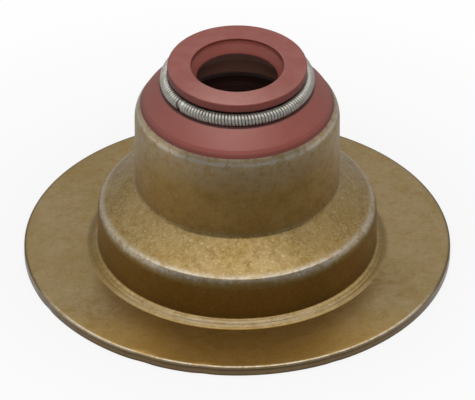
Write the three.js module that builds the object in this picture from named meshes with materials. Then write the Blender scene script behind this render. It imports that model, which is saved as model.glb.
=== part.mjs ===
// Valve stem seal with its own spring seat, in millimetres, +Z up.
// The origin is on the axis, at the underside of the flange.
// Three pieces: a drawn steel shell, the rubber moulded onto its turned-in end, and the garter spring.
import * as THREE from "three";

// Steel shell
const SHEET = 0.9;
const FLANGE_RADIUS = 18.0;
const FLANGE_TOP_ROUNDING = 0.2;
const FLANGE_BOTTOM_ROUNDING = 0.1;
const WALL_RADIUS = 11.77;
const FOOT_BEND = 0.7;
const FOOT_CONE_WIDTH = 0.88;
const FOOT_CONE_HEIGHT = 0.51;
const WALL_TOP = 4.32;
const SHOULDER_BEND = 1.4;
const SHOULDER_END_SLOPE = 50;
const SHOULDER_INNER_BEND = 0.1;
const DISH_START_SLOPE = 37;
const DISH_END_SLOPE = 43;
const NECK_FOOT_BEND = 0.5;
const NECK_RADIUS = 8.62;
const CROWN_INNER_BEND = 1.1;
const SHELL_HEIGHT = 15.87;
const END_HOLE_RADIUS = 6.2;

// Rubber seal. Its heights go up from the shell's turned-in end, and its head fits the spring's ring.
const CONE_FOOT_DROP = 0.08;
const CONE_FOOT_INSET = 0.84;
const CONE_EDGE_ROUNDING = 0.12;
const SKIRT_ANGLE = 42;
const SPRING_COVER = 1.17;
const SILL_OUT = 0.52;
const SILL_DROP = 0.42;
const GROOVE_START_ANGLE = 318;
const HEAD_OVER_SPRING = 1.6;
const HEAD_INSET = 0.11;
const HEAD_RIM = 0.73;
const HEAD_EDGE_ROUNDING = 0.1;
const MOUTH_RADIUS = 3.9;
const MOUTH_EDGE_ROUNDING = 0.1;
const MOUTH_DEPTH = 0.52;
const MOUTH_UNDERCUT = 0.12;
const LIP_RADIUS = 3.4;
const LIP_DEPTH = 1.21;
const OIL_SPACE_RADIUS = 4.9;
const OIL_SPACE_DEPTH = 2.95;
const STOP_COVER = 0.72;
const STOP_CHAMFER_WIDTH = 0.6;
const STOP_CHAMFER_HEIGHT = 0.8;
const GUIDE_BORE_RADIUS = 5.85;
const LINING_LENGTH = 5.5;
const LINING_CHAMFER = 0.5;
const RIB_COUNT = 3;
const RIB_PITCH = 1.5;
const RIB_HEIGHT = 0.3;
const RIB_FOOT = 0.9;
const RIB_CREST = 0.3;
const FIRST_RIB_UP = 1.25;
const BOND_CLEARANCE = 0.05;

// Garter spring
const SPRING_RING_RADIUS = 5.98;
const COIL_RADIUS = 0.49;
const WIRE_RADIUS = 0.115;
const COIL_PITCH = 0.268;
const NIB_TURNS = 4;
const NIB_TAPER_TURNS = 1.2;
const NIB_LEAD_TURNS = 0.5;
const NIB_CLEARANCE = 0.02;
const SPRING_JOINT_ANGLE = -139.2;
const SPRING_CLEARANCE = 0.02;

// Fineness of the round forms. The steps are degrees of turn for each flat.
const ROUND_SEGMENTS = 48;
const BEND_STEP = 15;
const EDGE_STEP = 45;
const STEPS_PER_TURN = 6;
const SAMPLES_PER_STEP = 4;
const WIRE_SIDES = 4;

const rad = THREE.MathUtils.degToRad;
const point = (r, z) => new THREE.Vector2(r, z);

// The number of flats that stand for a turn. Every bend has two at least.
function flats(turn, step) {
  return Math.max(2, Math.round(Math.abs(turn) / step));
}

// Points of an arc in the section plane, its angles in degrees from the outward direction.
function arc(centre, radius, from, to, step = BEND_STEP) {
  const steps = flats(to - from, step);
  const points = [];
  for (let i = 0; i <= steps; i++) {
    const angle = rad(from + ((to - from) * i) / steps);
    points.push(point(centre.x + radius * Math.cos(angle), centre.y + radius * Math.sin(angle)));
  }
  return points;
}

// A closed section, in radius and height, turned about the Z axis.
function turned(section) {
  const geometry = new THREE.LatheGeometry([...section, section[0]], ROUND_SEGMENTS);
  return geometry.rotateX(Math.PI / 2);
}

// The shell's bends. Each is given by its centre and the radius of its outer face.
const crownBend = CROWN_INNER_BEND + SHEET;
const footCentre = point(WALL_RADIUS + FOOT_BEND, SHEET + FOOT_BEND);
const shoulderCentre = point(WALL_RADIUS - SHOULDER_BEND, WALL_TOP);
const crownCentre = point(NECK_RADIUS - crownBend, SHELL_HEIGHT - crownBend);

// Heights that the pieces share.
const grooveRadius = COIL_RADIUS + SPRING_CLEARANCE;
const springCentre = point(SPRING_RING_RADIUS, SHELL_HEIGHT + SPRING_COVER + grooveRadius);
const headTop = springCentre.y + HEAD_OVER_SPRING;
const headRadius = SPRING_RING_RADIUS - HEAD_INSET;
const stopHeight = SHELL_HEIGHT - SHEET - BOND_CLEARANCE - STOP_COVER;
const liningBottom = stopHeight - LINING_LENGTH;

// The dished slope is one arc. It leaves the shoulder's edge at its first slope and meets the bend at the
// foot of the neck at its last one, so its radius follows from the two radii that it joins.
const shoulderTurn = 90 - SHOULDER_END_SLOPE;
const shoulderEnd = arc(shoulderCentre, SHOULDER_BEND, 0, shoulderTurn).at(-1);
const startSlope = rad(DISH_START_SLOPE);
const endSlope = rad(DISH_END_SLOPE);
const dishSpan = shoulderEnd.x - NECK_RADIUS - NECK_FOOT_BEND * (1 - Math.sin(endSlope));
const dishBend = dishSpan / (Math.sin(endSlope) - Math.sin(startSlope));
const dishCentre = point(
  shoulderEnd.x + dishBend * Math.sin(startSlope),
  shoulderEnd.y + dishBend * Math.cos(startSlope),
);
const neckFootCentre = point(
  dishCentre.x - (dishBend - NECK_FOOT_BEND) * Math.sin(endSlope),
  dishCentre.y - (dishBend - NECK_FOOT_BEND) * Math.cos(endSlope),
);

// Inside, a small bend touches the wall and the dished slope. Its turn ends where it meets the slope.
const innerShoulder = point(WALL_RADIUS - SHEET - SHOULDER_INNER_BEND, dishCentre.y);
const innerReach = dishBend + SHEET + SHOULDER_INNER_BEND;
innerShoulder.y -= Math.sqrt(innerReach ** 2 - (dishCentre.x - innerShoulder.x) ** 2);
const innerTurn = THREE.MathUtils.radToDeg(dishCentre.clone().sub(innerShoulder).angle());

// The sheet above its shoulder, from the slope given by its angle round the dish's centre to the turned-in end.
function upperFace(depth, dishStart) {
  return [
    ...arc(dishCentre, dishBend + depth, dishStart, 270 - DISH_END_SLOPE).slice(1),
    ...arc(neckFootCentre, NECK_FOOT_BEND + depth, 270 - DISH_END_SLOPE, 180).slice(1),
    ...arc(crownCentre, crownBend - depth, 0, 90),
    point(END_HOLE_RADIUS, SHELL_HEIGHT - depth),
  ];
}

// Outside, the wall stands on a conical foot and has a crisp edge where its shoulder meets the dished slope.
function outerFace() {
  return [
    point(WALL_RADIUS + FOOT_CONE_WIDTH, SHEET),
    point(WALL_RADIUS, SHEET + FOOT_CONE_HEIGHT),
    ...arc(shoulderCentre, SHOULDER_BEND, 0, shoulderTurn),
    ...upperFace(0, 270 - DISH_START_SLOPE),
  ];
}

function innerFace() {
  return [
    ...arc(footCentre, FOOT_BEND + SHEET, 270, 180),
    ...arc(innerShoulder, SHOULDER_INNER_BEND, 0, innerTurn, EDGE_STEP),
    ...upperFace(SHEET, 180 + innerTurn),
  ];
}

function steelShell() {
  const lowEdge = point(FLANGE_RADIUS - FLANGE_BOTTOM_ROUNDING, FLANGE_BOTTOM_ROUNDING);
  const highEdge = point(FLANGE_RADIUS - FLANGE_TOP_ROUNDING, SHEET - FLANGE_TOP_ROUNDING);
  return turned([
    ...arc(lowEdge, FLANGE_BOTTOM_ROUNDING, 270, 360, EDGE_STEP),
    ...arc(highEdge, FLANGE_TOP_ROUNDING, 0, 90, EDGE_STEP),
    ...outerFace(),
    ...innerFace().reverse(),
  ]);
}

// A rounded corner between two straight lines, from its first tangent point to its last.
function roundedCorner(before, corner, after, radius) {
  const back = before.clone().sub(corner).normalize();
  const on = after.clone().sub(corner).normalize();
  const half = Math.acos(THREE.MathUtils.clamp(back.dot(on), -1, 1)) / 2;
  const centre = back.clone().add(on).normalize().multiplyScalar(radius / Math.sin(half)).add(corner);
  const start = back.multiplyScalar(radius / Math.tan(half)).add(corner).sub(centre);
  const turn = Math.PI - 2 * half;
  const side = Math.sign(start.cross(on));
  const steps = flats(THREE.MathUtils.radToDeg(turn), EDGE_STEP);
  const points = [];
  for (let i = 0; i <= steps; i++) {
    points.push(start.clone().rotateAround(new THREE.Vector2(), (side * turn * i) / steps).add(centre));
  }
  return points;
}

// The head and its garter groove, from the cone's top to the mouth.
function headSection() {
  const rimFoot = point(headRadius, headTop - HEAD_RIM);
  // The groove's upper flank touches its round root, and runs out to the foot of the head's rim.
  const away = rimFoot.clone().sub(springCentre);
  const flankAngle = THREE.MathUtils.radToDeg(away.angle() + Math.acos(Math.min(1, grooveRadius / away.length())));
  const rimCorner = point(headRadius - HEAD_EDGE_ROUNDING, headTop - HEAD_EDGE_ROUNDING);
  const mouthCorner = point(MOUTH_RADIUS + MOUTH_EDGE_ROUNDING, headTop - MOUTH_EDGE_ROUNDING);
  return [
    ...arc(springCentre, grooveRadius, GROOVE_START_ANGLE, flankAngle),
    rimFoot,
    ...arc(rimCorner, HEAD_EDGE_ROUNDING, 0, 90, EDGE_STEP),
    ...arc(mouthCorner, MOUTH_EDGE_ROUNDING, 90, 180, EDGE_STEP),
  ];
}

// The way for the stem and the guide: undercut mouth, sealing lip, oil space, stop ledge and ribbed bore.
function boreSection() {
  const mouthFoot = headTop - MOUTH_DEPTH;
  const section = [
    point(MOUTH_RADIUS + MOUTH_UNDERCUT, (headTop + mouthFoot) / 2),
    point(MOUTH_RADIUS, mouthFoot),
    point(LIP_RADIUS, headTop - LIP_DEPTH),
    point(OIL_SPACE_RADIUS, headTop - OIL_SPACE_DEPTH),
    point(OIL_SPACE_RADIUS, stopHeight + STOP_CHAMFER_HEIGHT),
    point(OIL_SPACE_RADIUS + STOP_CHAMFER_WIDTH, stopHeight),
    point(GUIDE_BORE_RADIUS, stopHeight),
  ];
  for (let rib = RIB_COUNT - 1; rib >= 0; rib--) {
    const middle = liningBottom + FIRST_RIB_UP + rib * RIB_PITCH;
    section.push(
      point(GUIDE_BORE_RADIUS, middle + RIB_FOOT / 2),
      point(GUIDE_BORE_RADIUS - RIB_HEIGHT, middle + RIB_CREST / 2),
      point(GUIDE_BORE_RADIUS - RIB_HEIGHT, middle - RIB_CREST / 2),
      point(GUIDE_BORE_RADIUS, middle - RIB_FOOT / 2),
    );
  }
  section.push(
    point(GUIDE_BORE_RADIUS, liningBottom + LINING_CHAMFER),
    point(GUIDE_BORE_RADIUS + LINING_CHAMFER, liningBottom),
  );
  return section;
}

// The face that is bonded to the steel: up inside the neck, round the turned-in end, and out over the crown.
function bondedSection() {
  return [
    point(NECK_RADIUS - SHEET - BOND_CLEARANCE, liningBottom),
    ...arc(crownCentre, CROWN_INNER_BEND - BOND_CLEARANCE, 0, 90),
    point(END_HOLE_RADIUS - BOND_CLEARANCE, SHELL_HEIGHT - SHEET - BOND_CLEARANCE),
    point(END_HOLE_RADIUS - BOND_CLEARANCE, SHELL_HEIGHT + BOND_CLEARANCE),
    ...arc(crownCentre, crownBend + BOND_CLEARANCE, 90, SKIRT_ANGLE),
  ];
}

function rubberSeal() {
  const bonded = bondedSection();
  const skirt = bonded[bonded.length - 1];
  const coneFoot = point(NECK_RADIUS - CONE_FOOT_INSET, SHELL_HEIGHT - CONE_FOOT_DROP);
  const coneTop = point(SPRING_RING_RADIUS + SILL_OUT, springCentre.y - SILL_DROP);
  return turned([
    ...roundedCorner(skirt, coneFoot, coneTop, CONE_EDGE_ROUNDING),
    coneTop,
    ...headSection(),
    ...boreSection(),
    ...bonded,
  ]);
}

// The wire's centre line: a helix round the ring. Its last turns narrow into a nib inside its first ones.
class CoilCurve extends THREE.Curve {
  constructor(ringTurns) {
    super();
    this.ringTurns = ringTurns;
    this.turns = ringTurns + NIB_TURNS;
    this.openRadius = COIL_RADIUS - WIRE_RADIUS;
    this.nibRadius = this.openRadius - 2 * WIRE_RADIUS - NIB_CLEARANCE;
  }

  ringAngle(turn) {
    return rad(SPRING_JOINT_ANGLE) + (2 * Math.PI * turn) / this.ringTurns;
  }

  centre(turn, target = new THREE.Vector3()) {
    const angle = this.ringAngle(turn);
    return target.set(SPRING_RING_RADIUS * Math.cos(angle), SPRING_RING_RADIUS * Math.sin(angle), springCentre.y);
  }

  getPoint(t, target = new THREE.Vector3()) {
    const turn = t * this.turns;
    const taperEnd = this.ringTurns - NIB_LEAD_TURNS;
    const narrowing = THREE.MathUtils.smoothstep(turn, taperEnd - NIB_TAPER_TURNS, taperEnd);
    const radius = THREE.MathUtils.lerp(this.openRadius, this.nibRadius, narrowing);
    const angle = this.ringAngle(turn);
    const outward = radius * Math.cos(2 * Math.PI * turn);
    return this.centre(turn, target).add(
      new THREE.Vector3(
        outward * Math.cos(angle),
        outward * Math.sin(angle),
        -radius * Math.sin(2 * Math.PI * turn),
      ),
    );
  }

  // The wire's section keeps one corner facing away from the coil's middle.
  computeFrenetFrames(steps) {
    const tangents = [];
    const normals = [];
    const binormals = [];
    for (let i = 0; i <= steps; i++) {
      const t = this.getUtoTmapping(i / steps);
      const tangent = this.getTangent(t);
      const normal = this.getPoint(t).sub(this.centre(t * this.turns));
      normal.addScaledVector(tangent, -normal.dot(tangent)).normalize();
      tangents.push(tangent);
      normals.push(normal);
      binormals.push(new THREE.Vector3().crossVectors(tangent, normal));
    }
    return { tangents, normals, binormals };
  }
}

function garterSpring() {
  const ringTurns = Math.round((2 * Math.PI * SPRING_RING_RADIUS) / COIL_PITCH);
  const path = new CoilCurve(ringTurns);
  const steps = Math.round(path.turns * STEPS_PER_TURN);
  path.arcLengthDivisions = steps * SAMPLES_PER_STEP;
  const wire = new THREE.Shape();
  for (let i = 0; i < WIRE_SIDES; i++) {
    const angle = (2 * Math.PI * i) / WIRE_SIDES;
    const corner = point(WIRE_RADIUS * Math.cos(angle), WIRE_RADIUS * Math.sin(angle));
    if (i === 0) wire.moveTo(corner.x, corner.y);
    else wire.lineTo(corner.x, corner.y);
  }
  wire.closePath();
  return new THREE.ExtrudeGeometry(wire, { steps, extrudePath: path, bevelEnabled: false });
}

function named(name, geometry, color, roughness, metalness) {
  const mesh = new THREE.Mesh(geometry, new THREE.MeshStandardMaterial({ color, roughness, metalness }));
  mesh.name = name;
  return mesh;
}

const seal = new THREE.Group();
seal.add(
  named("steel_shell", steelShell(), 0x8a7140, 0.4, 0.8),
  named("rubber_seal", rubberSeal(), 0x8c4a40, 0.6, 0.0),
  named("garter_spring", garterSpring(), 0x9a968c, 0.35, 1.0),
);

export default seal;
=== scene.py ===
# Looks of a valve stem seal: passivated steel shell, moulded rubber, garter spring.
# Lengths are millimetres until they reach Blender, and the axis of the part is Z.
import math

import bpy
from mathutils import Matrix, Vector


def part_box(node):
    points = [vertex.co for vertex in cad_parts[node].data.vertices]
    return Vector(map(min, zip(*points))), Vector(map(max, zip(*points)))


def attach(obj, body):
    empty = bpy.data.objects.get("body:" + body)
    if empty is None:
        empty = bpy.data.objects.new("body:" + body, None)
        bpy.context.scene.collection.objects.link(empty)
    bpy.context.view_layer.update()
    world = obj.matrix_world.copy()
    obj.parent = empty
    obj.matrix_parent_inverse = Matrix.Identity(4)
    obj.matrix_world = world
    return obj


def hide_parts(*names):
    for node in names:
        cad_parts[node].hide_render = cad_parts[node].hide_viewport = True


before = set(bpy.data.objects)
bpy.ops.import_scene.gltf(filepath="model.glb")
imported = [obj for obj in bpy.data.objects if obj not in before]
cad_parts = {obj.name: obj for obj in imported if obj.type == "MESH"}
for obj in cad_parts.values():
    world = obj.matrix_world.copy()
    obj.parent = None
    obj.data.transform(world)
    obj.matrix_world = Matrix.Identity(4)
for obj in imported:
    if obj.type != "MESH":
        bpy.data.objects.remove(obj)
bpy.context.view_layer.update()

MM = 0.001


def top_of(node):
    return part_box(node)[1].z / MM


def radius_of(node):
    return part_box(node)[1].x / MM


# Camera: the photograph's viewing angle, from far off through a long lens.
ELEVATION = math.radians(35.42)
DISTANCE = 1200.0
LENS = 1078.6
SENSOR_WIDTH = 36.0
AIM = Vector((0.024, 0.0, 5.248))


def add_camera():
    data = bpy.data.cameras.new("camera")
    data.lens = LENS
    data.sensor_width = SENSOR_WIDTH
    data.sensor_fit = "HORIZONTAL"
    camera = bpy.data.objects.new("camera", data)
    bpy.context.scene.collection.objects.link(camera)
    away = Vector((0.0, -math.cos(ELEVATION), math.sin(ELEVATION)))
    camera.location = (AIM + away * DISTANCE) * MM
    camera.rotation_euler = (-away).to_track_quat("-Z", "Y").to_euler()
    bpy.context.scene.camera = camera


add_camera()

# Sizes of the steel shell
SHEET = 0.9
FLANGE_RADIUS = radius_of("steel_shell")
FLANGE_TOP_ROUNDING = 0.2
FLANGE_BOTTOM_ROUNDING = 0.1
WALL_RADIUS = 11.77
FOOT_BEND = 0.7
FOOT_CONE_WIDTH = 0.88
FOOT_CONE_HEIGHT = 0.51
FOOT_CONE_ROUNDINGS = (0.25, 0.08)
FOOT_RIDGES = 3
STEPS_PER_RIDGE = 10
RIDGE_HEIGHT = 0.012
WALL_TOP = 4.32
SHOULDER_BEND = 1.4
SHOULDER_END_SLOPE = 50.0
SHOULDER_INNER_BEND = 0.1
DISH_SLOPES = (37.0, 43.0)
NECK_FOOT_BEND = 0.5
NECK_RADIUS = 8.62
CROWN_BEND = 1.1 + SHEET
SHELL_HEIGHT = top_of("steel_shell")
END_HOLE_RADIUS = 6.2
SHOULDER = (WALL_RADIUS - SHOULDER_BEND, WALL_TOP)
CROWN = (NECK_RADIUS - CROWN_BEND, SHELL_HEIGHT - CROWN_BEND)
# Nicks in the flange's edge: azimuth in degrees, depth, half width.
NICKS = ((-116.2, 0.09, 0.9), (-99.2, 0.07, 0.6), (-63.0, 0.04, 0.5), (-152.0, 0.05, 0.5))
NICK_REACH = 0.45
NICK_DROP = 0.6

# Sizes of the rubber seal
HEAD_TOP = top_of("rubber_seal")
RING_RADIUS = 5.98
COIL_RADIUS = 0.53
GROOVE_CLEARANCE = 0.02
GROOVE_RADIUS = COIL_RADIUS + GROOVE_CLEARANCE
SPRING_HEIGHT = HEAD_TOP - 1.48
GROOVE_START = 302.0
HEAD_RADIUS = RING_RADIUS - 0.11
HEAD_RIM = 0.73
HEAD_EDGE = 0.1
MOUTH_RADIUS = 3.9
MOUTH_DEPTH = 0.52
MOUTH_UNDERCUT = 0.12
UNDERCUT_DEPTH = 0.26
LIP_RADIUS = 3.4
LIP_DEPTH = 1.21
OIL_SPACE_RADIUS = 4.9
OIL_SPACE_DEPTH = 2.95
BOND = 0.02
STOP_HEIGHT = SHELL_HEIGHT - SHEET - 0.77
STOP_CHAMFER = (0.6, 0.8)
GUIDE_BORE_RADIUS = 5.85
LINING_BOTTOM = STOP_HEIGHT - 5.5
LINING_CHAMFER = 0.5
RIB_COUNT = 3
RIB_PITCH = 1.5
RIB_HEIGHT = 0.3
RIB_FOOT = 0.9
RIB_CREST = 0.3
FIRST_RIB_UP = 1.25
SKIRT_ANGLE = 41.0
CONE_FOOT_INSET = 0.84
CONE_FOOT_DROP = 0.08
CONE_TOP_OUT = 0.52
CONE_TOP_DROP = 0.54
CONE_FOOT_ROUNDING = 0.12
CONE_TOP_ROUNDING = 0.08
FINE_ROUNDING = 0.06
UNDERCUT_ROUNDING = 0.1
RIB_ROUNDING = 0.1
LIP_ROUNDING = 0.03
OIL_SPACE_ROUNDING = 0.8

# Sizes of the garter spring
WIRE_RADIUS = 0.13
RING_TURNS = 140
NIB_TURNS = 4
NIB_PLAY = 0.02
TAPER_TURNS = 1.2
TAPER_END = 0.5
JOINT_ANGLE = -139.2
FIRST_TURN = 0.35
FLAT_TURNS = (0.75, 1.2)
FLAT_WIDTH = 1.1
STEPS_PER_TURN = 20
WIRE_SIDES = 8

# How finely the turned pieces are cut, round the axis and along their sections
SHELL_SEGMENTS = 360
RUBBER_SEGMENTS = 256
LONGEST_STEP = 0.35
SHELL_SHARP = 11.5
RUBBER_SHARP = 35.0
SPRING_SHARP = 60.0


# Section drawing: points are (radius, height).
def polar(centre, radius, degrees):
    angle = math.radians(degrees)
    return (centre[0] + radius * math.cos(angle), centre[1] + radius * math.sin(angle))


def arc(centre, radius, start, end, step=6.0):
    count = max(2, math.ceil(abs(end - start) / step))
    return [polar(centre, radius, start + (end - start) * i / count) for i in range(count + 1)]


def rounded(before, corner, after, radius, steps=4):
    """A corner between two straight lines, rounded to that radius."""
    corner = Vector(corner)
    back = (Vector(before) - corner).normalized()
    on = (Vector(after) - corner).normalized()
    half = back.angle(on) / 2
    centre = corner + (back + on).normalized() * radius / math.sin(half)
    first = corner + back * radius / math.tan(half) - centre
    last = corner + on * radius / math.tan(half) - centre
    turn = math.degrees(first.angle_signed(last))
    start = math.degrees(math.atan2(first.y, first.x))
    return [polar(centre, radius, start - turn * i / steps) for i in range(steps + 1)]


def filled(points, longest):
    """The closed section with its long straight stretches divided."""
    out = []
    for i, a in enumerate(points):
        b = points[(i + 1) % len(points)]
        length = math.dist(a, b)
        if length < 1e-6:
            continue
        count = max(1, math.ceil(length / longest))
        out += [(a[0] + (b[0] - a[0]) * k / count, a[1] + (b[1] - a[1]) * k / count) for k in range(count)]
    return out


def smooth_by_angle(mesh, degrees):
    mesh.shade_smooth()
    mesh.set_sharp_from_angle(angle=math.radians(degrees))


def add_piece(name, vertices, faces, sharp):
    mesh = bpy.data.meshes.new(name)
    mesh.from_pydata([(x * MM, y * MM, z * MM) for x, y, z in vertices], [], faces)
    mesh.validate()
    smooth_by_angle(mesh, sharp)
    piece = bpy.data.objects.new(name, mesh)
    bpy.context.scene.collection.objects.link(piece)
    return piece


def unmoved(r, z, angle):
    return 0.0, 0.0


def add_turned(name, section, segments, sharp, shift=unmoved):
    """A closed section turned about Z. shift(radius, height, angle) moves each point a little."""
    points = filled(section, LONGEST_STEP)
    rows = len(points)
    vertices = []
    for s in range(segments):
        angle = 2 * math.pi * s / segments
        for r, z in points:
            dr, dz = shift(r, z, angle)
            x, y = polar((0.0, 0.0), r + dr, math.degrees(angle))
            vertices.append((x, y, z + dz))
    faces = []
    for s in range(segments):
        here = s * rows
        after = ((s + 1) % segments) * rows
        for i in range(rows):
            j = (i + 1) % rows
            faces.append((here + i, here + j, after + j, after + i))
    return add_piece(name, vertices, faces, sharp)


def turn_outward(piece):
    """Turns a closed piece's faces round where they point inwards."""
    volume = sum(polygon.center.dot(polygon.normal) * polygon.area for polygon in piece.data.polygons)
    if volume < 0:
        piece.data.flip_normals()


# The shell's section
def dish_bends():
    """The dish's outer edge, its centre and bend radius, and the centre of the bend at the neck's foot."""
    start, end = (math.radians(slope) for slope in DISH_SLOPES)
    edge = polar(SHOULDER, SHOULDER_BEND, 90 - SHOULDER_END_SLOPE)
    span = edge[0] - NECK_RADIUS - NECK_FOOT_BEND * (1 - math.sin(end))
    bend = span / (math.sin(end) - math.sin(start))
    dish = (edge[0] + bend * math.sin(start), edge[1] + bend * math.cos(start))
    gap = bend - NECK_FOOT_BEND
    neck = (dish[0] - gap * math.sin(end), dish[1] - gap * math.cos(end))
    return edge, dish, bend, neck


DISH_EDGE, DISH, DISH_BEND, NECK_FOOT = dish_bends()


def upper_face(depth, dish_start):
    """From the dish to the hole at the top, at that depth in the sheet."""
    end = 270 - DISH_SLOPES[1]
    return [
        *arc(DISH, DISH_BEND + depth, dish_start, end, 0.6)[1:],
        *arc(NECK_FOOT, NECK_FOOT_BEND + depth, end, 180)[1:],
        *arc(CROWN, CROWN_BEND - depth, 0, 90),
        (END_HOLE_RADIUS, SHELL_HEIGHT - depth),
    ]


def foot_cone():
    """The conical foot from the flange up to the wall, with faint tool ridges round it."""
    outer = Vector((WALL_RADIUS + FOOT_CONE_WIDTH, SHEET))
    inner = Vector((WALL_RADIUS, SHEET + FOOT_CONE_HEIGHT))
    length = (outer - inner).length
    away = Vector((FOOT_CONE_HEIGHT, FOOT_CONE_WIDTH)) / length
    low = rounded((FLANGE_RADIUS, SHEET), outer, inner, FOOT_CONE_ROUNDINGS[0])
    high = rounded(outer, inner, (WALL_RADIUS, WALL_TOP), FOOT_CONE_ROUNDINGS[1], 7)
    start = (outer - Vector(low[-1])).length / length
    end = 1 - (inner - Vector(high[0])).length / length
    steps = STEPS_PER_RIDGE * FOOT_RIDGES
    ridges = []
    for i in range(1, steps):
        t = i / steps
        if start < t < end:
            lift = RIDGE_HEIGHT * math.sin(2 * math.pi * FOOT_RIDGES * t) * math.sin(math.pi * t)
            ridges.append(tuple(outer.lerp(inner, t) + away * lift))
    return [*low, *ridges, *high]


def outer_face():
    return [
        *foot_cone(),
        *arc(SHOULDER, SHOULDER_BEND, 0, 90 - SHOULDER_END_SLOPE, 4.0),
        *upper_face(0.0, 270 - DISH_SLOPES[0]),
    ]


def inner_face():
    foot = (WALL_RADIUS + FOOT_BEND, SHEET + FOOT_BEND)
    r = WALL_RADIUS - SHEET - SHOULDER_INNER_BEND
    reach = DISH_BEND + SHEET + SHOULDER_INNER_BEND
    inner = (r, DISH[1] - math.sqrt(reach**2 - (DISH[0] - r) ** 2))
    turn = math.degrees(math.atan2(DISH[1] - inner[1], DISH[0] - r))
    return [
        *arc(foot, FOOT_BEND + SHEET, 270, 180),
        *arc(inner, SHOULDER_INNER_BEND, 0, turn, 9.0),
        *upper_face(SHEET, 180 + turn),
    ]


def shell_section():
    low = (FLANGE_RADIUS - FLANGE_BOTTOM_ROUNDING, FLANGE_BOTTOM_ROUNDING)
    high = (FLANGE_RADIUS - FLANGE_TOP_ROUNDING, SHEET - FLANGE_TOP_ROUNDING)
    return [
        *arc(low, FLANGE_BOTTOM_ROUNDING, 270, 360, 10),
        *arc(high, FLANGE_TOP_ROUNDING, 0, 90, 9),
        *outer_face(),
        *reversed(inner_face()),
    ]


def smoothstep(low, high, value):
    t = min(1.0, max(0.0, (value - low) / (high - low)))
    return t * t * (3 - 2 * t)


def nicked(r, z, angle):
    """How far a point of the flange's edge lies in and down because of the nicks."""
    edge = smoothstep(FLANGE_RADIUS - NICK_REACH, FLANGE_RADIUS, r)
    dent = 0.0
    for azimuth, depth, half_width in NICKS:
        away = math.remainder(angle - math.radians(azimuth), 2 * math.pi) * FLANGE_RADIUS
        dent += depth * math.exp(-((away / half_width) ** 2))
    return -dent * edge, -dent * edge * NICK_DROP * smoothstep(SHEET / 3, SHEET, z)


# The rubber's section
def bonded_face():
    """The face that lies on the shell, from the lining's foot over the turned-in end to the skirt's edge."""
    hole = END_HOLE_RADIUS - BOND
    return [
        (NECK_RADIUS - SHEET - BOND, LINING_BOTTOM),
        *arc(CROWN, CROWN_BEND - SHEET - BOND, 0, 90),
        (hole, SHELL_HEIGHT - SHEET - BOND),
        (hole, SHELL_HEIGHT + BOND),
        *arc(CROWN, CROWN_BEND + BOND, 90, SKIRT_ANGLE),
    ]


def cone_and_groove(skirt_edge):
    """From the skirt's edge up the cone and round the spring's groove to the foot of the head's rim."""
    cone_foot = (NECK_RADIUS - CONE_FOOT_INSET, SHELL_HEIGHT - CONE_FOOT_DROP)
    cone_top = (RING_RADIUS + CONE_TOP_OUT, SPRING_HEIGHT - CONE_TOP_DROP)
    ring = (RING_RADIUS, SPRING_HEIGHT)
    rim_foot = (HEAD_RADIUS, HEAD_TOP - HEAD_RIM)
    toward = math.degrees(math.atan2(rim_foot[1] - ring[1], rim_foot[0] - ring[0]))
    groove_end = toward + math.degrees(math.acos(GROOVE_RADIUS / math.dist(ring, rim_foot)))
    groove = arc(ring, GROOVE_RADIUS, GROOVE_START, groove_end, 10)
    return [
        *rounded(skirt_edge, cone_foot, cone_top, CONE_FOOT_ROUNDING, 5),
        *rounded(cone_foot, cone_top, groove[0], CONE_TOP_ROUNDING, 3),
        *groove,
        *rounded(groove[-1], rim_foot, (HEAD_RADIUS, HEAD_TOP), FINE_ROUNDING, 3),
    ]


def head_and_lip():
    """Over the head's top, down its mouth past the lip, and through the oil space to the stop ledge."""
    rim_corner = (HEAD_RADIUS - HEAD_EDGE, HEAD_TOP - HEAD_EDGE)
    mouth_corner = (MOUTH_RADIUS + HEAD_EDGE, HEAD_TOP - HEAD_EDGE)
    undercut = (MOUTH_RADIUS + MOUTH_UNDERCUT, HEAD_TOP - UNDERCUT_DEPTH)
    mouth_foot = (MOUTH_RADIUS, HEAD_TOP - MOUTH_DEPTH)
    lip = (LIP_RADIUS, HEAD_TOP - LIP_DEPTH)
    oil_top = (OIL_SPACE_RADIUS, HEAD_TOP - OIL_SPACE_DEPTH)
    chamfer_top = (OIL_SPACE_RADIUS, STOP_HEIGHT + STOP_CHAMFER[1])
    return [
        *arc(rim_corner, HEAD_EDGE, 0, 90, 22),
        *arc(mouth_corner, HEAD_EDGE, 90, 180, 22),
        *rounded((MOUTH_RADIUS, HEAD_TOP), undercut, mouth_foot, UNDERCUT_ROUNDING, 3),
        *rounded(undercut, mouth_foot, lip, FINE_ROUNDING, 3),
        *rounded(mouth_foot, lip, oil_top, LIP_ROUNDING, 3),
        *rounded(lip, oil_top, chamfer_top, OIL_SPACE_ROUNDING, 8),
        chamfer_top,
        (OIL_SPACE_RADIUS + STOP_CHAMFER[0], STOP_HEIGHT),
        (GUIDE_BORE_RADIUS, STOP_HEIGHT),
    ]


def grip_rib(middle):
    """One rib inside the lining, from its upper foot to its lower one."""
    crest = GUIDE_BORE_RADIUS - RIB_HEIGHT
    foot_high = (GUIDE_BORE_RADIUS, middle + RIB_FOOT / 2)
    crest_high = (crest, middle + RIB_CREST / 2)
    crest_low = (crest, middle - RIB_CREST / 2)
    foot_low = (GUIDE_BORE_RADIUS, middle - RIB_FOOT / 2)
    return [
        foot_high,
        *rounded(foot_high, crest_high, crest_low, RIB_ROUNDING, 3),
        *rounded(crest_high, crest_low, foot_low, RIB_ROUNDING, 3),
        foot_low,
    ]


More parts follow.
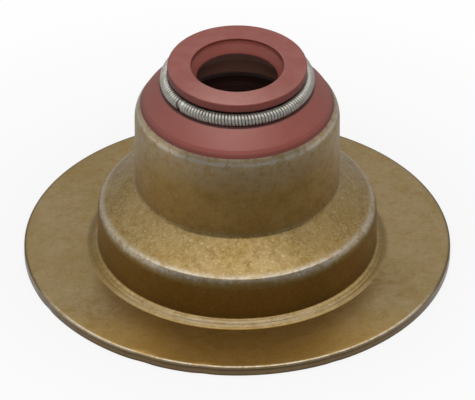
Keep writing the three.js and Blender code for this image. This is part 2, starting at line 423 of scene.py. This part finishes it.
def rubber_section():
    bonded = bonded_face()
    section = cone_and_groove(bonded[-1]) + head_and_lip()
    for rib in reversed(range(RIB_COUNT)):
        section += grip_rib(LINING_BOTTOM + FIRST_RIB_UP + rib * RIB_PITCH)
    section += [
        (GUIDE_BORE_RADIUS, LINING_BOTTOM + LINING_CHAMFER),
        (GUIDE_BORE_RADIUS + LINING_CHAMFER, LINING_BOTTOM),
    ]
    return section + bonded


# The garter spring: one wire, wound round the ring, its narrowed end inside its first turns.
def ring_point(turn):
    """The coil's middle at that turn, and the direction away from the axis there."""
    angle = math.radians(JOINT_ANGLE) + 2 * math.pi * turn / RING_TURNS
    outer = Vector((math.cos(angle), math.sin(angle), 0.0))
    return outer * RING_RADIUS + Vector((0.0, 0.0, SPRING_HEIGHT)), outer


def wire_point(turn):
    middle, outer = ring_point(turn)
    open_radius = COIL_RADIUS - WIRE_RADIUS
    nib_radius = open_radius - 2 * WIRE_RADIUS - NIB_PLAY
    taper_end = RING_TURNS - TAPER_END
    taper = smoothstep(taper_end - TAPER_TURNS, taper_end, turn)
    radius = open_radius + (nib_radius - open_radius) * taper
    wind = 2 * math.pi * turn
    return middle + outer * radius * math.cos(wind) - Vector((0.0, 0.0, radius * math.sin(wind)))


def wire_circle(turn):
    """The wire's outline at that turn. The first turn is pressed flat where the ends join."""
    at = wire_point(turn)
    middle, away = ring_point(turn)
    along = (wire_point(turn + 0.01) - wire_point(turn - 0.01)).normalized()
    outer = at - middle
    outer = (outer - along * outer.dot(along)).normalized()
    side = along.cross(outer)
    widened = FLAT_WIDTH * (1 - smoothstep(*FLAT_TURNS, turn))
    at = at - Vector((-away.y, away.x, 0.0)) * widened * WIRE_RADIUS
    points = []
    for k in range(WIRE_SIDES):
        angle = 2 * math.pi * k / WIRE_SIDES
        offset = outer * math.cos(angle) + side * math.sin(angle) * (1 + widened)
        points.append(tuple(at + offset * WIRE_RADIUS))
    return points


def add_spring():
    count = round((RING_TURNS + NIB_TURNS - FIRST_TURN) * STEPS_PER_TURN) + 1
    vertices = []
    for i in range(count):
        vertices += wire_circle(FIRST_TURN + i / STEPS_PER_TURN)
    faces = []
    for i in range(count - 1):
        here, after = i * WIRE_SIDES, (i + 1) * WIRE_SIDES
        for k in range(WIRE_SIDES):
            m = (k + 1) % WIRE_SIDES
            faces.append((here + k, here + m, after + m, after + k))
    last = (count - 1) * WIRE_SIDES
    faces.append(tuple(reversed(range(WIRE_SIDES))))
    faces.append(tuple(last + k for k in range(WIRE_SIDES)))
    return add_piece("spring_wire", vertices, faces, SPRING_SHARP)


# Material nodes
BUMP_DEPTH = 0.03


class Nodes:
    """Builds a material's node tree. Inputs are sockets or plain values."""

    def __init__(self, name):
        self.material = bpy.data.materials.new(name)
        self.material.use_nodes = True
        self.tree = self.material.node_tree
        self.tree.nodes.clear()
        self.output = self.tree.nodes.new("ShaderNodeOutputMaterial")

    def node(self, kind, inputs=(), **settings):
        node = self.tree.nodes.new(kind)
        for key, value in settings.items():
            setattr(node, key, value)
        pairs = inputs.items() if isinstance(inputs, dict) else enumerate(inputs)
        for key, value in pairs:
            self.put(node.inputs[key], value)
        return node

    def put(self, socket, value):
        if isinstance(value, bpy.types.NodeSocket):
            self.tree.links.new(value, socket)
        else:
            socket.default_value = value

    def math(self, operation, *values, clamp=False):
        return self.node("ShaderNodeMath", values, operation=operation, use_clamp=clamp).outputs[0]

    def plus(self, first, *others):
        for other in others:
            first = self.math("ADD", first, other)
        return first

    def times(self, first, *others):
        for other in others:
            first = self.math("MULTIPLY", first, other)
        return first

    def place(self):
        """Object coordinates in millimetres: the vector, the radius from the axis, the height, x and y."""
        coordinates = self.node("ShaderNodeTexCoord").outputs["Object"]
        inputs = {"Vector": coordinates, "Scale": 1 / MM}
        self.vector = self.node("ShaderNodeVectorMath", inputs, operation="SCALE").outputs[0]
        self.x, self.y, self.height = self.node("ShaderNodeSeparateXYZ", (self.vector,)).outputs
        squares = self.plus(self.times(self.x, self.x), self.times(self.y, self.y))
        self.radius = self.math("SQRT", squares)

    def noise(self, scale, detail, roughness, distortion=0.0):
        names = ("Vector", "Scale", "Detail", "Roughness", "Distortion")
        inputs = dict(zip(names, (self.vector, scale, detail, roughness, distortion)))
        return self.node("ShaderNodeTexNoise", inputs).outputs[0]

    def band(self, value, low, high, smooth=True):
        """0 below low and 1 above high, or the other way where low is the greater."""
        kind = "SMOOTHSTEP" if smooth else "LINEAR"
        ends = (low, high, 0.0, 1.0) if low < high else (high, low, 1.0, 0.0)
        return self.node("ShaderNodeMapRange", (value, *ends), interpolation_type=kind, clamp=True).outputs[0]

    def near_point(self, point, reach):
        """1 at a point and 0 at that reach from it."""
        away = self.node("ShaderNodeVectorMath", (self.vector, point), operation="DISTANCE").outputs["Value"]
        return self.band(away, reach, 0.0)

    def near_ring(self, ring, reach):
        """1 on a ring at (radius, height) and 0 at that reach from it."""
        out = self.math("SUBTRACT", self.radius, ring[0])
        up = self.math("SUBTRACT", self.height, ring[1])
        return self.band(self.math("SQRT", self.plus(self.times(out, out), self.times(up, up))), reach, 0.0)

    def mix(self, factor, first, second):
        node = self.node("ShaderNodeMix", {0: factor}, data_type="RGBA")
        self.put(node.inputs[6], first)
        self.put(node.inputs[7], second)
        return node.outputs[2]

    def tint(self, base, colour, *masks):
        """The base with that colour over it where the masks say, multiplied together."""
        return self.mix(self.times(*masks), base, colour)

    def principled(self, **inputs):
        named = {key.replace("_", " "): value for key, value in inputs.items()}
        shader = self.node("ShaderNodeBsdfPrincipled", named)
        self.tree.links.new(shader.outputs[0], self.output.inputs["Surface"])
        return self.material

    def bump(self, height, strength):
        inputs = {"Height": height, "Strength": strength, "Distance": BUMP_DEPTH * MM}
        return self.node("ShaderNodeBump", inputs).outputs[0]


def linear(red, green, blue):
    """A colour given as 0-255 display values."""
    def one(value):
        v = value / 255
        return v / 12.92 if v <= 0.04045 else ((v + 0.055) / 1.055) ** 2.4

    return (one(red), one(green), one(blue), 1.0)


# Marks, painted highlights and painted shade on the steel, in millimetres: points with their reach, and rings
# as (radius, height) with theirs.
SCUFFS = (((-6.2, -9.9, 5.0), 4.2), ((5.8, -10.1, 5.0), 3.6))
# Spots on the flange's front left and right that carry the wall's painted dark reflection.
WALL_REFLECTION_SPOTS = (((-11.2, -9.6, SHEET), 4.5), ((12.6, -5.6, SHEET), 4.0))
SHOULDER_SCUFF = ((11.5, 5.0), 0.62)
DISH_EDGE_HIGHLIGHT = (DISH_EDGE, 0.55)
CROWN_WEAR_AND_HIGHLIGHT = ((8.45, 14.75), 0.26)
RUBBER_CONTACT_SHADOW = ((8.12, 15.2), 0.3)
FLANGE_EDGE = ((FLANGE_RADIUS - 0.05, SHEET - 0.03), 0.26)
FOOT_HIGHLIGHT = ((12.2, 1.2), 0.6)
FOOT_DARKENING = ((12.3, 1.1), 0.7)
NECK_WEAR = (11.5, 15.2)
NECK_COLOUR_FROM = (7.5, 8.2)
# How far towards the camera, along Y, the front's painted shade and painted highlights begin and are full.
GOLDEN_SHADE_FRONT = (-8.5, -14.5)
EDGE_HIGHLIGHT_FRONT = (-5.0, -12.0)
FOOT_HIGHLIGHT_FRONT = (-6.0, -11.5)


def steel_regions(n):
    """Masks of the neck, the wall and the flange's top."""
    neck = n.band(n.height, *NECK_COLOUR_FROM)
    low = n.band(n.height, DISH_EDGE[1] + 0.08, DISH_EDGE[1] - 0.62)
    wall = n.times(low, n.band(n.radius, WALL_RADIUS + 0.13, WALL_RADIUS - 0.02))
    flange = n.band(n.height, SHEET + 0.3, SHEET + 0.05)
    return neck, wall, flange


def passivated_colour(n, neck, wall, flange):
    """Light on the dished slope, deep on the wall, between the two elsewhere, golden at the front of the
    flange as painted shade.
    """
    clouds = n.band(n.noise(0.35, 4.0, 0.6, 0.4), 0.35, 0.68)
    slope = n.mix(clouds, linear(164, 140, 92), linear(150, 122, 62))
    base = n.mix(flange, slope, n.mix(clouds, linear(167, 146, 107), linear(156, 134, 88)))
    base = n.mix(neck, base, n.mix(clouds, linear(180, 146, 84), linear(172, 136, 72)))
    base = n.mix(wall, base, linear(144, 113, 56))
    # Painted reflection: the flange's front turns golden and darker where it mirrors the part's dark wall.
    return n.tint(base, linear(188, 146, 52), flange, n.band(n.y, *GOLDEN_SHADE_FRONT), 0.55)


def stains_speckles_and_shade(n, base, stains, grain, neck, wall, flange):
    """Stains everywhere, speckles that are strongest on the dished slope, and painted shade: the wall's dark
    reflection on the flange's front and a shadow where the rubber meets the crown.
    """
    calm = n.math("MAXIMUM", n.math("MAXIMUM", wall, flange), n.times(neck, 0.8))
    rough = n.math("SUBTRACT", 1.0, n.times(calm, 0.7))
    mottle = n.band(n.noise(2.4, 5.0, 0.75, 0.5), 0.4, 0.62)
    flecks = n.band(n.noise(1.5, 6.0, 0.72, 0.8), 0.5, 0.64)
    dots = n.band(n.noise(4.6, 3.0, 0.6), 0.58, 0.7)
    pits = n.band(n.noise(4.2, 2.0, 0.6), 0.36, 0.27)
    wall_reflection = n.plus(*(n.near_point(*spot) for spot in WALL_REFLECTION_SPOTS))
    patchy = n.math("ADD", stains, 0.4, clamp=True)
    base = n.tint(base, linear(146, 110, 54), stains, 0.45)
    base = n.tint(base, linear(196, 172, 124), mottle, rough, 0.35)
    base = n.tint(base, linear(128, 98, 42), flecks, rough, 0.5)
    # Painted reflection: the wall's dark reflection on the flange's front left and right.
    base = n.tint(base, linear(122, 92, 36), wall_reflection, patchy, flange, 0.5)
    # Painted shadow where the rubber's skirt meets the steel crown.
    base = n.tint(base, linear(88, 66, 50), n.near_ring(*RUBBER_CONTACT_SHADOW), 0.75)
    base = n.tint(base, linear(196, 172, 128), n.band(grain, 0.42, 0.66), rough, 0.25)
    base = n.tint(base, linear(220, 200, 164), dots, rough, 0.45)
    return n.tint(base, linear(96, 74, 40), pits, 0.4)


def wear_and_highlights(n):
    """How far the passivation is rubbed off on the neck, edges, crown and scuffs, with painted highlights on
    the flange's front edge, the foot's front, the dish's edge and the crown, all broken up by noise.
    """
    # Painted highlight: the flange's edge is bright only at the front.
    facing = n.band(n.y, *EDGE_HIGHLIGHT_FRONT)
    scuffs = n.plus(*(n.near_point(*scuff) for scuff in SCUFFS))
    broken = n.band(n.noise(0.9, 5.0, 0.75, 0.6), 0.45, 0.62)
    scuffs = n.plus(n.times(scuffs, 0.6), n.times(broken, 0.55))
    worn = n.plus(
        n.times(n.band(n.height, *NECK_WEAR, smooth=False), 0.55),
        # Painted highlight on the foot's ridges, at the front only.
        n.times(n.near_ring(*FOOT_HIGHLIGHT), n.band(n.y, *FOOT_HIGHLIGHT_FRONT), 0.35),
        n.times(n.near_ring(*FLANGE_EDGE), facing),
        n.times(n.near_ring(*SHOULDER_SCUFF), scuffs, 0.9),
        # Painted highlight: a fine light line along the dish's edge.
        n.times(n.near_ring(*DISH_EDGE_HIGHLIGHT), 0.7),
        # The crown's rim is worn pale and also carries a painted highlight.
        n.times(n.near_ring(*CROWN_WEAR_AND_HIGHLIGHT), 1.1),
    )
    patches = n.band(n.noise(1.5, 5.0, 0.75, 0.4), 0.34, 0.6)
    return n.math("MULTIPLY", worn, n.math("ADD", patches, 0.22, clamp=True), clamp=True)


def with_edge_shade_and_darker_foot(n, base):
    """The flange's edge is painted darker away from the front, as a dark reflection, and the foot is darker.
    """
    aside = n.math("SUBTRACT", 1.0, n.band(n.y, *EDGE_HIGHLIGHT_FRONT))
    # Painted dark reflection along the flange's edge away from the front.
    base = n.tint(base, linear(96, 82, 62), n.near_ring(*FLANGE_EDGE), aside, 0.7)
    # Darker round the foot of the wall.
    return n.tint(base, linear(120, 96, 48), n.near_ring(*FOOT_DARKENING), 0.5)


def with_shaded_cut_edge(n, base):
    """The flange's cut edge is painted dark as a dark reflection, darkest along its foot as a painted contact
    shadow.
    """
    cut = n.times(
        n.band(n.radius, FLANGE_RADIUS - 0.4, FLANGE_RADIUS - 0.3),
        n.band(n.height, SHEET - 0.16, SHEET - 0.28),
    )
    # Painted shade: darkest along the cut edge's foot, where the contact shadow falls.
    dark = n.mix(n.band(n.height, SHEET / 3, SHEET / 9), linear(88, 75, 62), linear(44, 35, 30))
    return n.tint(base, dark, cut, 0.85)


def steel_material():
    n = Nodes("passivated_steel")
    n.place()
    stains = n.band(n.noise(1.1, 5.0, 0.65, 0.3), 0.42, 0.7)
    grain = n.noise(7.0, 3.0, 0.7)
    regions = steel_regions(n)
    base = passivated_colour(n, *regions)
    base = stains_speckles_and_shade(n, base, stains, grain, *regions)
    base = with_edge_shade_and_darker_foot(n, base)
    base = n.tint(base, linear(206, 194, 174), wear_and_highlights(n))
    base = with_shaded_cut_edge(n, base)
    rough = n.plus(n.times(stains, 0.08), n.times(grain, 0.12), 0.26)
    relief = n.plus(n.times(n.noise(9.0, 3.0, 0.6), 0.25), n.times(n.noise(1.6, 3.0, 0.55), 0.9))
    return n.principled(Base_Color=base, Metallic=0.95, Roughness=rough, Normal=n.bump(relief, 0.35))


# Marks, painted sheen and painted shade on the rubber
FRONT_SHEEN = ((-0.6, -6.0, 17.5), 6.0)
LIP_HEIGHT = HEAD_TOP - LIP_DEPTH
OIL_SPACE_TOP = HEAD_TOP - OIL_SPACE_DEPTH
CHAMFER_TOP = STOP_HEIGHT + STOP_CHAMFER[1]
SKIRT_SHADE_RADII = (7.0, 7.3)


def with_painted_sheen(n, base, clouds):
    """Painted sheen: the faces that look up are paler, most towards the front."""
    normal = n.node("ShaderNodeNewGeometry").outputs["Normal"]
    up = n.node("ShaderNodeSeparateXYZ", (normal,)).outputs[2]
    patchy = n.plus(n.times(clouds, 0.2), n.times(n.near_point(*FRONT_SHEEN), 0.75), 0.1)
    # Painted sheen, strongest on the top face's front.
    return n.tint(base, linear(196, 138, 130), n.band(up, 0.4, 1.0, smooth=False), patchy)


def with_painted_gap_shade(n, base):
    """Painted shade: darker round the spring, under the head's rim and along the skirt's foot."""
    sill = n.times(
        n.band(n.height, SPRING_HEIGHT - 0.35, SPRING_HEIGHT - 0.47),
        n.band(n.radius, RING_RADIUS + 0.58, RING_RADIUS + 0.48),
        n.band(n.radius, RING_RADIUS - 0.08, RING_RADIUS + 0.02),
    )
    flank = n.times(
        n.band(n.height, HEAD_TOP - 0.07, HEAD_TOP - 0.17),
        n.band(n.radius, HEAD_RADIUS - 0.27, HEAD_RADIUS - 0.12),
        n.band(n.height, HEAD_TOP - 1.05, HEAD_TOP - 0.85),
    )
    under = n.times(
        n.band(n.height, HEAD_TOP - 0.65, HEAD_TOP - 0.8),
        n.band(n.height, SPRING_HEIGHT - 0.37, SPRING_HEIGHT - 0.17),
        n.band(n.radius, RING_RADIUS + 0.42, RING_RADIUS + 0.22),
        n.band(n.radius, RING_RADIUS - 0.98, RING_RADIUS - 0.88),
    )
    skirt = n.times(
        n.band(n.height, SHELL_HEIGHT - 0.27, SHELL_HEIGHT - 0.52),
        n.band(n.radius, *SKIRT_SHADE_RADII),
    )
    # Painted shadows in the groove under the spring, on the rim's flank, under the head and on the skirt's
    # wall.
    base = n.tint(base, linear(50, 18, 12), sill, 0.9)
    base = n.tint(base, linear(116, 52, 44), flank, 0.75)
    base = n.tint(base, linear(60, 22, 16), under, 0.9)
    return n.tint(base, linear(104, 50, 40), skirt, 0.7)


def with_inside_sheen_and_shade(n, base):
    """Greyer inside below the lip as a painted sheen, and nearly black below the stop ledge as painted shade.
    Also gives the inside's mask.
    """
    bore = n.band(n.radius, GUIDE_BORE_RADIUS + 0.25, GUIDE_BORE_RADIUS + 0.05)
    inside = n.times(n.band(n.height, LIP_HEIGHT + 0.01, LIP_HEIGHT - 0.09), bore)
    upper = n.band(n.height, OIL_SPACE_TOP - 0.1, OIL_SPACE_TOP + 0.4)
    deep = n.band(n.height, CHAMFER_TOP + 0.15, CHAMFER_TOP - 0.1)
    # Painted sheen: the inside below the lip is greyer.
    base = n.tint(base, n.mix(upper, linear(122, 90, 78), linear(152, 106, 94)), inside, 0.9)
    # Painted shade: nearly black below the stop ledge.
    return n.tint(base, linear(38, 14, 10), deep, bore, 0.95), inside


def rubber_material():
    n = Nodes("seal_rubber")
    n.place()
    clouds = n.band(n.noise(0.8, 4.0, 0.55), 0.3, 0.7)
    grain = n.noise(9.0, 3.0, 0.6)
    specks = n.band(n.noise(6.0, 1.0, 0.5), 0.68, 0.76)
    base = n.mix(clouds, linear(146, 74, 63), linear(139, 66, 55))
    base = with_painted_sheen(n, base, clouds)
    base = n.tint(base, linear(170, 104, 92), n.band(grain, 0.45, 0.7), 0.15)
    base = n.tint(base, linear(190, 150, 140), specks, 0.25)
    base = with_painted_gap_shade(n, base)
    base, inside = with_inside_sheen_and_shade(n, base)
    rough = n.plus(n.times(grain, 0.15), 0.4)
    sheen = n.math("SUBTRACT", 0.5, n.times(inside, 0.42))
    normal = n.bump(n.plus(n.times(grain, 0.4), n.noise(2.2, 3.0, 0.5)), 0.3)
    return n.principled(Base_Color=base, Roughness=rough, Specular_IOR_Level=sheen, Normal=normal)


def spring_material():
    n = Nodes("spring_steel")
    n.place()
    tarnish = n.band(n.noise(1.5, 3.0, 0.6), 0.4, 0.7)
    base = n.mix(tarnish, linear(208, 206, 198), linear(192, 188, 176))
    grain = n.noise(14.0, 2.0, 0.5)
    rough = n.plus(n.times(grain, 0.12), 0.36)
    return n.principled(Base_Color=base, Metallic=0.8, Roughness=rough, Normal=n.bump(grain, 0.05))


def dress(piece, material, node):
    turn_outward(piece)
    piece.data.materials.append(material)
    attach(piece, "root")
    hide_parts(node)


shell = add_turned("shell_sheet", shell_section(), SHELL_SEGMENTS, SHELL_SHARP, nicked)
dress(shell, steel_material(), "steel_shell")
rubber = add_turned("rubber_moulding", rubber_section(), RUBBER_SEGMENTS, RUBBER_SHARP)
dress(rubber, rubber_material(), "rubber_seal")
dress(add_spring(), spring_material(), "garter_spring")


# Studio: a pale floor and a white surround, two softboxes, and dim cards that only reflections see.
FLOOR_DROP = 0.02
FLOOR_NEAR = FLANGE_RADIUS + 1.0
FLOOR_REACH = 2000.0
FLOOR_COLOUR = (0.85, 0.85, 0.85, 1.0)
FLOOR_WHITE = (0.84, 0.98)
FILL = 0.2
FLOOR_CARD_RADII = (FLANGE_RADIUS + 0.5, 300.0)
FLOOR_CARD_HEIGHT = 0.2
FLOOR_CARD_DARKEST = math.radians(-66.0)
FLOOR_CARD_ENDS = (0.97, -0.1)
FLOOR_CARD_LEVELS = (0.24, 0.43)
# Upright cards: radius, height, first and last azimuth, level.
RING_CARDS = {
    "front_card": (450.0, 580.0, -155.0, -10.0, 0.23),
    "right_card": (500.0, 450.0, -10.0, 40.0, 0.56),
    "back_card": (500.0, 450.0, 40.0, 140.0, 0.49),
    "left_card": (500.0, 450.0, 140.0, 205.0, 0.66),
}
RING_CARD_STEPS = 24
FLOOR_CARD_STEPS = 64
# Softboxes: place, size and power in watts.
OVERHEAD = ((0.0, 0.0, 450.0), (700.0, 750.0), 0.7)
KEY = ((0.0, -250.0, 430.0), (300.0, 300.0), 1.06)


def background_rays(tree):
    """1 for rays that should see the plain white background: camera, glossy and transmission rays."""
    seen = tree.nodes.new("ShaderNodeLightPath").outputs
    rays = seen["Is Camera Ray"]
    for other in ("Is Glossy Ray", "Is Transmission Ray"):
        either = tree.nodes.new("ShaderNodeMath")
        either.operation = "MAXIMUM"
        tree.links.new(rays, either.inputs[0])
        tree.links.new(seen[other], either.inputs[1])
        rays = either.outputs[0]
    return rays


def set_world():
    world = bpy.data.worlds.new("studio")
    world.use_nodes = True
    tree = world.node_tree
    tree.nodes.clear()
    both = tree.nodes.new("ShaderNodeMixShader")
    tree.links.new(background_rays(tree), both.inputs[0])
    for socket, strength in ((both.inputs[1], FILL), (both.inputs[2], 1.0)):
        background = tree.nodes.new("ShaderNodeBackground")
        background.inputs["Color"].default_value = (1.0, 1.0, 1.0, 1.0)
        background.inputs["Strength"].default_value = strength
        tree.links.new(background.outputs[0], socket)
    output = tree.nodes.new("ShaderNodeOutputWorld")
    tree.links.new(both.outputs[0], output.inputs["Surface"])
    bpy.context.scene.world = world


def add_stage(name, vertices, faces, material):
    mesh = bpy.data.meshes.new(name)
    mesh.from_pydata([(x * MM, y * MM, z * MM) for x, y, z in vertices], [], faces)
    mesh.materials.append(material)
    sheet = bpy.data.objects.new(name, mesh)
    bpy.context.scene.collection.objects.link(sheet)
    return sheet


def only_reflected(card):
    card.visible_camera = False
    card.visible_diffuse = False
    card.visible_shadow = False
    card.visible_transmission = False
    card.visible_volume_scatter = False


def floor_material():
    """Pale and lit close to the part, where it takes the part's shadow, and plain white farther out."""
    n = Nodes("floor")
    n.place()
    lit = n.node("ShaderNodeBsdfDiffuse", {"Color": FLOOR_COLOUR})
    white = n.node("ShaderNodeEmission", {"Strength": 1.0})
    ends = (n.radius, FLOOR_NEAR, 2 * FLOOR_NEAR, *FLOOR_WHITE)
    share = n.times(background_rays(n.tree), n.node("ShaderNodeMapRange", ends, clamp=True).outputs[0])
    both = n.node("ShaderNodeMixShader", (share, lit.outputs[0], white.outputs[0]))
    n.tree.links.new(both.outputs[0], n.output.inputs["Surface"])
    return n.material


def add_floor():
    far = FLOOR_REACH
    corners = [(x, y, -FLOOR_DROP) for x, y in ((-far, -far), (far, -far), (far, far), (-far, far))]
    add_stage("floor", corners, [(0, 1, 2, 3)], floor_material())


def glow_material(name, level):
    """A plain glow. The level is a number or a socket that level(n) makes."""
    n = Nodes(name)
    glow = n.node("ShaderNodeEmission", {"Strength": level(n) if callable(level) else level})
    n.tree.links.new(glow.outputs[0], n.output.inputs["Surface"])
    return n.material


def floor_card_level(n):
    """Darkest in one direction from the part, and lighter round towards the other side."""
    n.place()
    direction = (math.cos(FLOOR_CARD_DARKEST), math.sin(FLOOR_CARD_DARKEST))
    aside = n.plus(n.times(n.x, direction[0]), n.times(n.y, direction[1]))
    facing = n.math("DIVIDE", aside, n.radius)
    ends = (facing, *FLOOR_CARD_ENDS, *FLOOR_CARD_LEVELS)
    return n.node("ShaderNodeMapRange", ends, clamp=True).outputs[0]


def add_floor_card():
    """A flat ring just above the floor, round the flange."""
    vertices = []
    for i in range(FLOOR_CARD_STEPS):
        for radius in FLOOR_CARD_RADII:
            vertices.append((*polar((0.0, 0.0), radius, 360 * i / FLOOR_CARD_STEPS), FLOOR_CARD_HEIGHT))
    count = len(vertices)
    faces = [(i, i + 1, (i + 3) % count, (i + 2) % count) for i in range(0, count, 2)]
    only_reflected(add_stage("floor_card", vertices, faces, glow_material("floor_card", floor_card_level)))


def add_ring_card(name, radius, height, first, last, level):
    """An upright card bent round the part at that radius, from one azimuth to another."""
    vertices = []
    for i in range(RING_CARD_STEPS + 1):
        x, y = polar((0.0, 0.0), radius, first + (last - first) * i / RING_CARD_STEPS)
        vertices += [(x, y, 0.0), (x, y, height)]
    faces = [(2 * i, 2 * i + 1, 2 * i + 3, 2 * i + 2) for i in range(RING_CARD_STEPS)]
    only_reflected(add_stage(name, vertices, faces, glow_material(name, level)))


def add_softbox(name, place, size, power):
    data = bpy.data.lights.new(name, "AREA")
    data.shape = "RECTANGLE"
    data.size = size[0] * MM
    data.size_y = size[1] * MM
    data.energy = power
    lamp = bpy.data.objects.new(name, data)
    lamp.location = Vector(place) * MM
    aim = Vector((0.0, 0.0, HEAD_TOP / 2)) - Vector(place)
    lamp.rotation_euler = aim.to_track_quat("-Z", "Y").to_euler()
    bpy.context.scene.collection.objects.link(lamp)
    return lamp


set_world()
add_floor()
add_floor_card()
for name, sizes in RING_CARDS.items():
    add_ring_card(name, *sizes)
add_softbox("overhead", *OVERHEAD)
key = add_softbox("key", *KEY)
key.visible_glossy = False

bpy.context.scene.view_settings.view_transform = "Standard"
